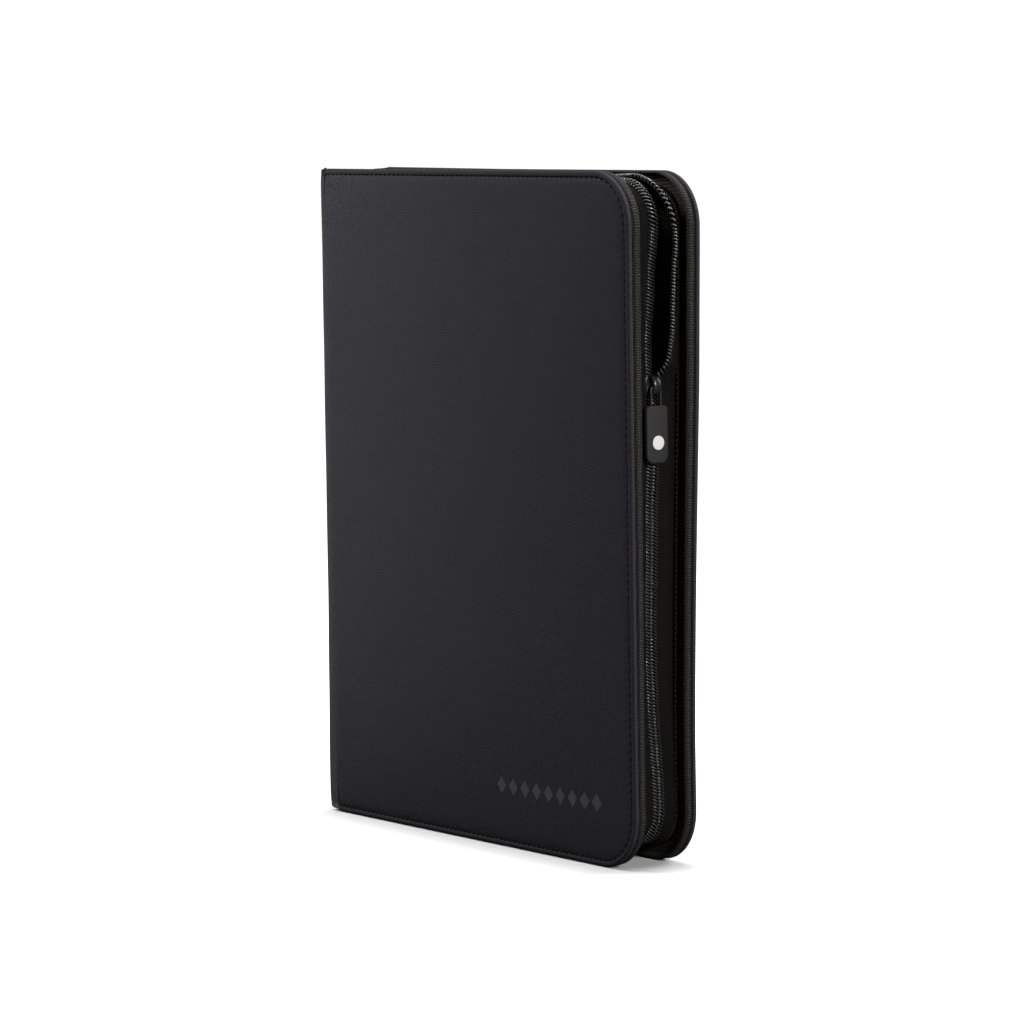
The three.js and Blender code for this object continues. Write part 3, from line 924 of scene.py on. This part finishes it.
def add_coil(side):
    """A coil half: its slanted turns, the thread sewn along it and the filler inside it"""
    turn_steps = 12
    count = int((ZIP_LENGTH - 2.0) / COIL_PITCH) * turn_steps
    theta = np.arange(count) * math.tau / turn_steps
    offset = 0.0 if side == "front" else 0.5
    s = 1.0 + COIL_PITCH * (theta / math.tau + offset - COIL_SLANT * np.cos(theta))
    order = np.argsort(s)
    back = np.argsort(order)
    centre, ahead, across, facing = (values[back] for values in coil_frame(side, s[order]))
    wire = centre + across * (COIL_HALF * SIGN[side] * np.cos(theta))[:, None]
    wire = wire + facing * (COIL_RISE * np.sin(theta) + COIL_SEAT)[:, None]
    points, faces = tube(wire, WIRE, 6, 1.0, ahead)
    piece = make(f"{side}_zip_coil_wire", points, faces, looks["coil"])
    outward(piece)
    hold(piece, f"{side}_cover", [f"{side}_zip_coil"], "coil")
    rows = np.arange(2.0, ZIP_LENGTH - 2.0, 0.55)
    centre, ahead, across, facing = coil_frame(side, rows)
    weave = np.sin(rows * math.tau / COIL_PITCH)
    seat = centre + across * (SEWING_SEAT + 0.05 * weave)[:, None]
    seat = seat + facing * (COIL_RISE + 0.55 + 0.1 * weave)[:, None]
    points, faces = tube(seat, 0.42, 6, 0.6, across)
    thread = make(f"{side}_zip_sewing", points, faces, looks["dark_thread"])
    hold(thread, f"{side}_cover", slot="tape")
    points, faces = tube(centre + facing * 0.35, 1.75, 10, 0.34, across)
    filler = make(f"{side}_zip_filler", points, faces, looks["dark_thread"])
    hold(filler, f"{side}_cover", slot="tape")


# The webbing's section as (inset, depth), and each of its stitches as (distance along, inset)
HEM_SECTION = [
    (7.6, 6.05), (7.6, 6.9), (7.75, 7.25), (8.2, 7.4), (9.4, 7.46), (10.6, 7.4), (11.2, 7.25),
    (11.5, 6.9), (11.5, 6.05),
]
HEM_CURVE = [(0.0, 8.2), (0.85, 10.2), (1.7, 8.2)]
HEM_STITCH = 2.6
HEM_STITCH_DEPTH = 7.62


def add_hem(side):
    """The flat webbing that each tape is sewn to, and its row of curved stitches"""
    s = np.arange(0, ZIP_LENGTH + 0.1, 1.5)
    rows, cloth = [], []
    for inset, depth in HEM_SECTION:
        rows.append(zip_points(s, np.full_like(s, inset), side_y(side, depth)))
        cloth.append(np.stack([np.full_like(s, inset + depth), s], -1))
    faces = grid_faces(len(HEM_SECTION), len(s), wrap_rows=True)
    for end in (0, len(s) - 1):
        faces.append(tuple(row * len(s) + end for row in range(len(HEM_SECTION))))
    rows, cloth = np.concatenate(rows), np.concatenate(cloth)
    piece = make(f"{side}_zip_webbing", rows, faces, looks["webbing"], cloth)
    outward(piece)
    hold(piece, f"{side}_cover", [f"{side}_zip_hem"], "tape")
    places = np.arange(3.0, ZIP_LENGTH - 3.0, HEM_STITCH)
    y = side_y(side, HEM_STITCH_DEPTH)
    curve = [zip_points(places + step, np.full_like(places, inset), y) for step, inset in HEM_CURVE]
    starts, ends = np.concatenate(curve[:-1]), np.concatenate(curve[1:])
    out = np.array([0, SIGN[side], 0.0])
    points, faces = capsules(starts, ends, 0.32, out, 0.16)
    thread = make(f"{side}_zip_webbing_stitches", points, faces, looks["pale_thread"])
    hold(thread, f"{side}_cover", slot="tape")


# Rounded small parts

def rounded_slab(name, outline, rows, origin, axes, material, dome=0.0):
    """A closed slab: rows of (inset, depth) round outline(inset), with each end filled to a
    slightly domed middle. axes says where its outline's two directions and its depth point"""
    rings = [outline(inset) for inset, _ in rows]
    count = len(rings[0])
    points = [np.column_stack([o, np.full(count, depth)]) for o, (_, depth) in zip(rings, rows)]
    faces = grid_faces(len(rows), count, wrap_columns=True)
    for end, sign in ((0, -1), (len(rows) - 1, 1)):
        middle = rings[end].mean(0)
        previous = end * count
        for share in (0.7, 0.35):
            base = len(points) * count
            shrunk = middle + (rings[end] - middle) * share
            height = rows[end][1] + sign * dome * (1 - share**2)
            points.append(np.column_stack([shrunk, np.full(count, height)]))
            for i in range(count):
                j = (i + 1) % count
                faces.append((previous + i, previous + j, base + j, base + i))
            previous = base
        faces.append(tuple(range(previous, previous + count)))
    flat = np.concatenate(points)
    piece = make(name, flat @ axes + origin, faces, material, flat[:, :2], loose=True)
    outward(piece)
    return piece


def rounded_box(half_width, half_height, radii, steps=8):
    """An outline with its own radius at each corner: low right, high right, high left, low left"""
    corners = ((1, -1, -90), (1, 1, 0), (-1, 1, 90), (-1, -1, 180))

    def outline(inset):
        w, h = half_width - inset, half_height - inset
        parts = []
        for (sx, sz, start), radius in zip(corners, radii):
            r = max(radius - inset, 0.12)
            angle = np.radians(np.linspace(start, start + 90, steps))
            centre = np.array([sx * (w - r), sz * (h - r)])
            parts.append(centre + r * circle(angle))
        return np.concatenate(parts)

    return outline


def add_stops(side):
    for end in ("top", "bottom"):
        node = f"{side}_zip_{end}_stop"
        low, high = node_box(node)
        middle, half = (low + high) / 2, (high - low) / 2
        outline = rounded_box(half[0], half[1], (0.9,) * 4, 5)
        rows = [(0.5, -half[2]), (0.12, -half[2] + 0.15), (0, -half[2] + 0.5)]
        rows += [(inset, -depth) for inset, depth in rows[::-1]]
        piece = rounded_slab(f"{node}_clamp", outline, rows, middle, np.eye(3), looks["stop"], 0.15)
        hold(piece, f"{side}_cover", [node], "stop")


# The slider, as rows of (inset, depth from the zip side)
OUTER_PLATE = [(1.1, 8.65), (0.45, 8.75), (0.1, 9.0), (0, 9.35), (0.1, 9.65), (0.4, 9.85), (0.9, 9.9)]
UNDER_PLATE = [(0.9, 13.05), (0.3, 13.1), (0.05, 13.3), (0.0, 13.6), (0.1, 13.9), (0.6, 14.1)]
FLANGE_ROWS = [(0.15, 9.2), (0, 9.4), (0, 11.1), (0.1, 11.35), (0.25, 11.4)]
PLATE_HALF = 5.5
FLANGE_OUT, FLANGE_LEAN = 4.15, 0.4 / PLATE_HALF
POST_UP = 3.9


def slider_outline(inset):
    """The slider's plate, with two shoulders at the top and a narrower lower end"""
    angle = np.linspace(0, math.tau, 56, endpoint=False)
    y, z = np.cos(angle), np.sin(angle)
    power = 0.62
    y, z = np.sign(y) * abs(y) ** power, np.sign(z) * abs(z) ** power
    width = 4.3 + 0.45 * z - 0.5 * np.exp(-((z + 0.15) / 0.3) ** 2)
    notch = 0.55 * np.exp(-((y / 0.28) ** 2)) * (z > 0.4)
    return np.stack([y * (width - inset), z * (PLATE_HALF - inset) - notch], -1)


def add_slider():
    """The slider's two plates, its side walls and post, and the crown that holds the pull"""
    metal, slot = looks["metal"], "slider_metal"
    origin = np.array([RIGHT, 0, SLIDER_Z])
    plate = rounded_slab("slider_plate", slider_outline, OUTER_PLATE, origin, INWARDS, metal, 0.12)
    hold(plate, "slider", ["slider_body"], slot)
    under = rounded_slab("slider_under_plate", slider_outline, UNDER_PLATE, origin, INWARDS, metal, 0.05)
    hold(under, "slider", slot=slot)
    flange = rounded_box(0.42, 5.2, (0.35,) * 4, 4)
    for sign, name in ((-1, "front"), (1, "back")):
        axes = INWARDS.copy()
        axes[1, 1] = sign * FLANGE_LEAN
        place = origin + (0, sign * FLANGE_OUT, 0)
        wall = rounded_slab(f"slider_{name}_flange", flange, FLANGE_ROWS, place, axes, metal)
        hold(wall, "slider", slot=slot)
    outline = rounded_box(0.45, 1.5, (0.4,) * 4, 5)
    place = origin + (0, 0, POST_UP)
    post = rounded_slab("slider_post", outline, [(0, 9.6), (0, 13.3)], place, INWARDS, metal)
    hold(post, "slider", slot=slot)
    t = np.linspace(0, math.pi, 33)
    rise = RIGHT - 8.9 + 3.9 * np.sin(t) ** 0.75
    shape = np.stack([rise, np.zeros_like(t), SLIDER_Z - 0.1 + 4.15 * np.cos(t)], -1)
    points, faces = tube(shape, 2.5 + 0.3 * np.cos(t) ** 2, 16, 0.42, (0, 1, 0))
    crown = make("slider_crown_arch", points, faces, metal, loose=True)
    outward(crown)
    hold(crown, "slider", ["slider_crown"], slot)


def add_pull():
    """The pull's tab, the plain disc on it and the wire loop that holds it"""
    tab_low, tab_high = node_box("pull_tab")
    (x, _, middle), (_, half_w, half_h) = (tab_low + tab_high) / 2, (tab_high - tab_low) / 2
    outline = rounded_box(half_w, half_h, (4.2, 2.2, 2.2, 4.2), 10)
    rows = [(1.1, -1.5), (0.5, -1.42), (0.15, -1.15), (0, -0.7)]
    rows += [(inset, -depth) for inset, depth in rows[::-1]]
    tab = rounded_slab("pull_tab_moulding", outline, rows, (x, 0, middle), OUTWARDS, looks["rubber"])
    hold(tab, "pull", ["pull_tab"], "tab_rubber")
    low, high = node_box("pull_badge")
    centre, radius = (low + high) / 2 * (1, 0, 1), (high[2] - low[2]) / 2
    disc = circle(np.linspace(0, math.tau, 48, endpoint=False))
    rows = [(0, -0.2), (0, 0.05), (0.08, 0.14), (0.25, 0.18), (0.6, 0.16)]
    badge = rounded_slab(
        "pull_badge_disc", lambda inset: (radius - inset) * disc, rows, centre, OUTWARDS, looks["badge"]
    )
    hold(badge, "pull", ["pull_badge"], "badge")
    low, high = node_box("pull_loop")
    half, top = 0.8 * ((high[1] - low[1]) / 2 - 0.65), high[2] - 0.65
    bend, foot = 1.9, tab_high[2] - 6.0
    rise = [(-half, z) for z in np.linspace(foot, top - bend, 8, endpoint=False)]
    for turn in np.linspace(0, math.pi / 2, 9):
        rise.append((-half + bend - bend * math.cos(turn), top - bend + bend * math.sin(turn)))
    route = np.array([(x, y, z) for y, z in rise] + [(x, -y, z) for y, z in rise[::-1]])
    points, faces = tube(route, 0.8, 12, 1.0, (1, 0, 0))
    loop = make("pull_wire_loop", points, faces, looks["metal"], loose=True)
    outward(loop)
    hold(loop, "pull", ["pull_loop"], "slider_metal")


# Spine and pages

def spine_bow(share):
    """How far the spine's cloth stands out, from the bottom to the top"""
    return ease(share, (0, 0.08, 0.3, 0.6, 0.9, 1.0), (-4.6, -4.4, -3.1, -2.5, -2.0, -2.1))


# Round the corner to the spine: (share of the groove's place, shift in X, depth, share of the bow)
HINGE_PROFILE = [
    (1, 0.6, 1.45, 0), (1, 0.1, 1.2, 0), (1, -0.4, 0.85, 0), (1, -1.0, 0.6, 0), (1, -1.8, 0.5, 0.1),
    (0.4, -0.4, 0.45, 0.4), (0, 1.6, 0.45, 0.8), (0, 0.95, 0.75, 0.93), (0, 0.4, 1.3, 1),
    (0, 0.1, 2.1, 1), (0, 0.0, 3.1, 1), (0, 0.0, 4.4, 1), (0, 0.1, 6.2, 1),
    (0, 0.25, 8.0, 1), (0, 0.6, 9.0, 1),
]
HINGE_THICK = 1.0


def add_hinge_fold(side):
    """The cloth that turns from a cover's stitching round the corner to the spine"""
    rows, count = 90, len(HINGE_PROFILE)
    share = np.linspace(0, 1, rows)
    groove = GROOVE_LOW + (GROOVE_HIGH - GROOVE_LOW) * share
    outer = np.zeros((rows, count, 3))
    for j, (weight, shift, depth, proud) in enumerate(HINGE_PROFILE):
        q = j / (count - 1)
        crease = 0.3 * np.exp(-(((q - 0.42) / 0.09) ** 2)) * (1 - share) ** 1.5
        low = 0.3 + 2.6 * min(1, q * 1.6) ** 2
        high = TOP - 0.2 - 0.7 * q + 0.9 * math.exp(-(((q - 0.12) / 0.1) ** 2))
        outer[:, j, 0] = weight * groove + (1 - weight) * LEFT + shift + proud * spine_bow(share)
        outer[:, j, 1] = depth + crease + 0.05 * np.sin(share * 37 + j)
        outer[:, j, 2] = low + (high - low) * share
    tangent = np.gradient(outer[:, :, :2], axis=1)
    normal = np.stack([-tangent[:, :, 1], tangent[:, :, 0]], -1)
    inner = outer.copy()
    inner[:, :, :2] -= HINGE_THICK * unit(normal)
    middle, half = (outer + inner) / 2, (outer - inner) / 2
    half *= np.minimum(1, np.minimum(share, 1 - share) * rows / 2.2)[:, None, None] ** 0.6
    outer = middle + half
    loop = np.concatenate([outer, (middle - half)[:, ::-1]], axis=1)
    points = loop.reshape(-1, 3).copy()
    points[:, 1] = side_y(side, points[:, 1])
    steps = np.linalg.norm(np.diff(outer[rows // 2], axis=0), axis=1)
    run = np.concatenate([[0], np.cumsum(steps)])
    cloth = np.stack([np.tile(-np.concatenate([run, run[::-1]]), rows), loop[:, :, 2].ravel()], -1)
    border = np.full(len(points), 0.9)
    faces = closed_grid(rows, 2 * count)
    piece = make(f"{side}_hinge_cloth", points, faces, looks["hinge"], cloth, border)
    outward(piece)
    if side == "front":
        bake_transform(piece)
    else:
        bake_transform(piece)


# The spine's wrapped edge, as rows of (inset, depth)
SPINE_ROWS = [
    (1.3, 5.4), (0.4, 5.35), (0.1, 5.0), (0, 4.2), (0, 1.8), (0.1, 0.9), (0.4, 0.38), (0.9, 0.14),
    (1.8, 0.03), (4, 0.0),
]


def add_spine():
    """The spine's cloth, wrapped round its edges and bowed outwards"""
    half = THICKNESS / 2 - 7.2
    centre = np.array([(FRONT + BACK) / 2, TOP / 2 + 0.6])
    outline = rounded_box(half, TOP / 2 - 1.6, (1.6,) * 4, 6)
    corners = outline(0)
    gaps = np.linalg.norm(np.roll(corners, -1, axis=0) - corners, axis=1)
    counts = np.maximum(1, gaps / 3.5).astype(int)
    rings = []
    for inset, _ in SPINE_ROWS:
        corners = outline(inset) + centre
        ends = np.roll(corners, -1, axis=0)
        rings.append(np.concatenate([line(*side) for side in zip(corners, ends, counts)]))
    count, inner = len(rings[0]), rings[-1]
    low, high = inner.min(0), inner.max(0)
    middle = lattice(np.arange(low[0] + 2, high[0] - 1, 2.4), np.arange(low[1] + 3, high[1] - 2, 6.0))
    faces = grid_faces(len(rings), count, wrap_columns=True)
    faces += filled(inner, middle, (len(rings) - 1) * count)
    across = middle[:, 0] / 17.0
    ripple = -0.25 * np.cos(across * 1.4) + 0.12 * np.sin(middle[:, 1] / 41 + 2 * across)
    depths = [np.full(count, float(depth)) for _, depth in SPINE_ROWS]
    depths = np.concatenate(depths + [np.clip(ripple + 0.1, -0.5, 0.5)])
    points = np.column_stack([LEFT + depths, np.concatenate(rings + [middle])])
    stands = np.clip(1 - depths / 5.4, 0, 1)
    points[:, 0] += stands * spine_bow(np.clip(points[:, 2] / TOP, 0, 1))
    border = np.where(np.arange(len(points)) < 7 * count, 0.8, 0)
    piece = make("spine_cloth", points, faces, looks["hinge"], points[:, 1:], border)
    hold(piece, "spine", ["spine_skin"], "skin")


# The width of a page's punched root, and how far its welded seams reach
PAGE_ROOT = 10.5
PAGE_SEAM = 1.7


def add_page(index):
    """A page: two films that swell in its nine pockets, each page with its own slight waves"""
    node = f"page_{index + 1:02d}"
    low, high = node_box(node)
    wide, tall = high[0] - low[0] - PAGE_ROOT, high[2] - low[2]
    columns = np.concatenate([[0, 4.5, 9], PAGE_ROOT + wide * np.linspace(0, 1, 40)])
    x, z = np.meshgrid(columns, tall * np.linspace(0, 1, 61))
    near_x = np.abs((x - PAGE_ROOT + wide / 6) % (wide / 3) - wide / 6)
    near_z = np.abs((z + tall / 6) % (tall / 3) - tall / 6)
    seam = np.exp(-0.5 * (np.minimum(near_x, near_z) / PAGE_SEAM) ** 2)
    seam = np.where(x < PAGE_ROOT, 1.0, seam)
    swell = 0.13 + 0.3 * (1 - seam)
    a, b, c = rng.uniform(0, math.tau, 3)
    sway = 0.16 * np.sin(x / 61 + a) * np.sin(z / 83 + b) * np.clip((x - 12) / 60, 0, 1)
    slip = rng.uniform(-0.7, 0.1)
    edge = np.clip((x - 200) / 32, 0, 1) * (slip + 0.3 * np.sin(z / 47 + c))
    shift = rng.uniform(-0.4, 0.4)
    points = np.concatenate([
        np.stack([low[0] + x + edge, y + sway, low[2] + z + shift], -1).reshape(-1, 3)
        for y in ((low[1] + high[1]) / 2 - swell, (low[1] + high[1]) / 2 + swell)
    ])
    cloth = np.tile(np.stack([x.ravel(), z.ravel()], -1), (2, 1))
    faces, border = joined_sheets(*x.shape), np.tile(seam.ravel(), 2)
    piece = make(f"{node}_pockets", points, faces, looks["page"], cloth, border)
    outward(piece)
    hold(piece, node, [node], "page")


# Assembly

# Beads along a rim: middle and half width of their line, pitch, raised or not, and colour
# The ladder's near-black colour is painted shade in its recessed dots
LADDER = (0.35, 1.0, 1.05, False, grey(0.0006, 0.0006, 0.0008))
RIM_BEADS = (-3.0, 1.2, 1.25, True, grey(0.03, 0.0275, 0.0225))
SKIN_DARK, SKIN_LIGHT = grey(0.001, 0.001, 0.0012), grey(0.03, 0.0285, 0.036)
MOULDED = {
    "coil": ("coil_nylon", grey(0.032), grey(0.05), 0.22, 0.5, 0.008, 1.0),
    "stop": ("stop_metal", grey(0.010), grey(0.024, 0.024, 0.025), 0.3, 0.3, 0.02),
    "metal": ("slider_enamel", grey(0.003, 0.003, 0.0035), grey(0.006, 0.006, 0.007), 0.3, 0.1, 0.008),
    "rubber": (
        "tab_rubber", grey(0.017, 0.0155, 0.0155), grey(0.023, 0.021, 0.021), 0.62, 0.0, 0.04, 0.35
    ),
    "badge": ("badge_plastic", grey(0.72, 0.72, 0.71), grey(0.8, 0.8, 0.79), 0.5, 0.0, 0.02),
    "thread": ("cover_thread", grey(0.0006), grey(0.0018, 0.0018, 0.002), 0.85, 0.0, 0.08, 0.05, 5200),
    "dark_thread": ("zip_thread", grey(0.0006), grey(0.0018), 0.9, 0.0, 0.08, 0.04, 5200),
    "pale_thread": (
        "webbing_thread", grey(0.035, 0.033, 0.029), grey(0.06, 0.056, 0.05), 0.5, 0.0, 0.08, 0.3, 5200
    ),
}
looks = {
    "front_skin": twill_material("front_skin_twill", SKIN_DARK, SKIN_LIGHT, beads=LADDER, emboss=True),
    "back_skin": twill_material("back_skin_twill", SKIN_DARK, SKIN_LIGHT, beads=LADDER),
    # The spine's twill is a lighter copy of the skin's: painted light, as on the key-lit spine roll
    "hinge": twill_material(
        "spine_twill", grey(0.006, 0.006, 0.0068), grey(0.04, 0.0385, 0.043), rough=0.36, relief=0.06,
        level=0.5,
    ),
    "lining": twill_material(
        "lining_twill", grey(0.0006, 0.0006, 0.0005), grey(0.055, 0.05, 0.042), 1.4, relief=0.42,
        knot=0.85, level=0.35, rim=0.2, plain=0.15, beads=RIM_BEADS, tint=grey(1.0, 0.95, 0.88),
    ),
    "tape": tape_material("tape_herringbone", grey(0.0002), grey(0.034, 0.0315, 0.0265)),
    "webbing": tape_material("webbing_weave", grey(0.0002), grey(0.006, 0.0055, 0.005), 2.4, 1.2),
    "binding": tape_material("binding_weave", grey(0.005), grey(0.02), 1.6, 0.8),
    "page": page_material("pocket_film"),
    "board": fibre_material("grey_board", grey(0.16, 0.13, 0.1), grey(0.3, 0.26, 0.2)),
    "foam": fibre_material("foam_cells", grey(0.03, 0.03, 0.032), grey(0.07, 0.07, 0.072), 2400),
}
for key, values in MOULDED.items():
    looks[key] = moulded_material(*values)

add_camera()
add_studio()
pad = swell_pad()
for cover in ("front", "back"):
    add_cover_skin(cover)
    add_cover_stitches(cover)
    add_layer(cover, f"{cover}_foam_sheet", f"{cover}_foam", "foam", looks["foam"], 1.9, 1.0)
    add_layer(cover, f"{cover}_board_sheet", f"{cover}_board", "board", looks["board"], 3.2, 1.5)
    add_inner_panel(cover)
    add_hem(cover)
    add_tape(cover)
    add_coil(cover)
    add_stops(cover)
    add_hinge_fold(cover)
add_spine()
add_slider()
add_pull()
for page in range(20):
    add_page(page)
for node, look in (("spine_board", "board"), ("spine_lining", "lining"), ("page_binding", "binding")):
    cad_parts[node].data.materials.clear()
    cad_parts[node].data.materials.append(looks[look])
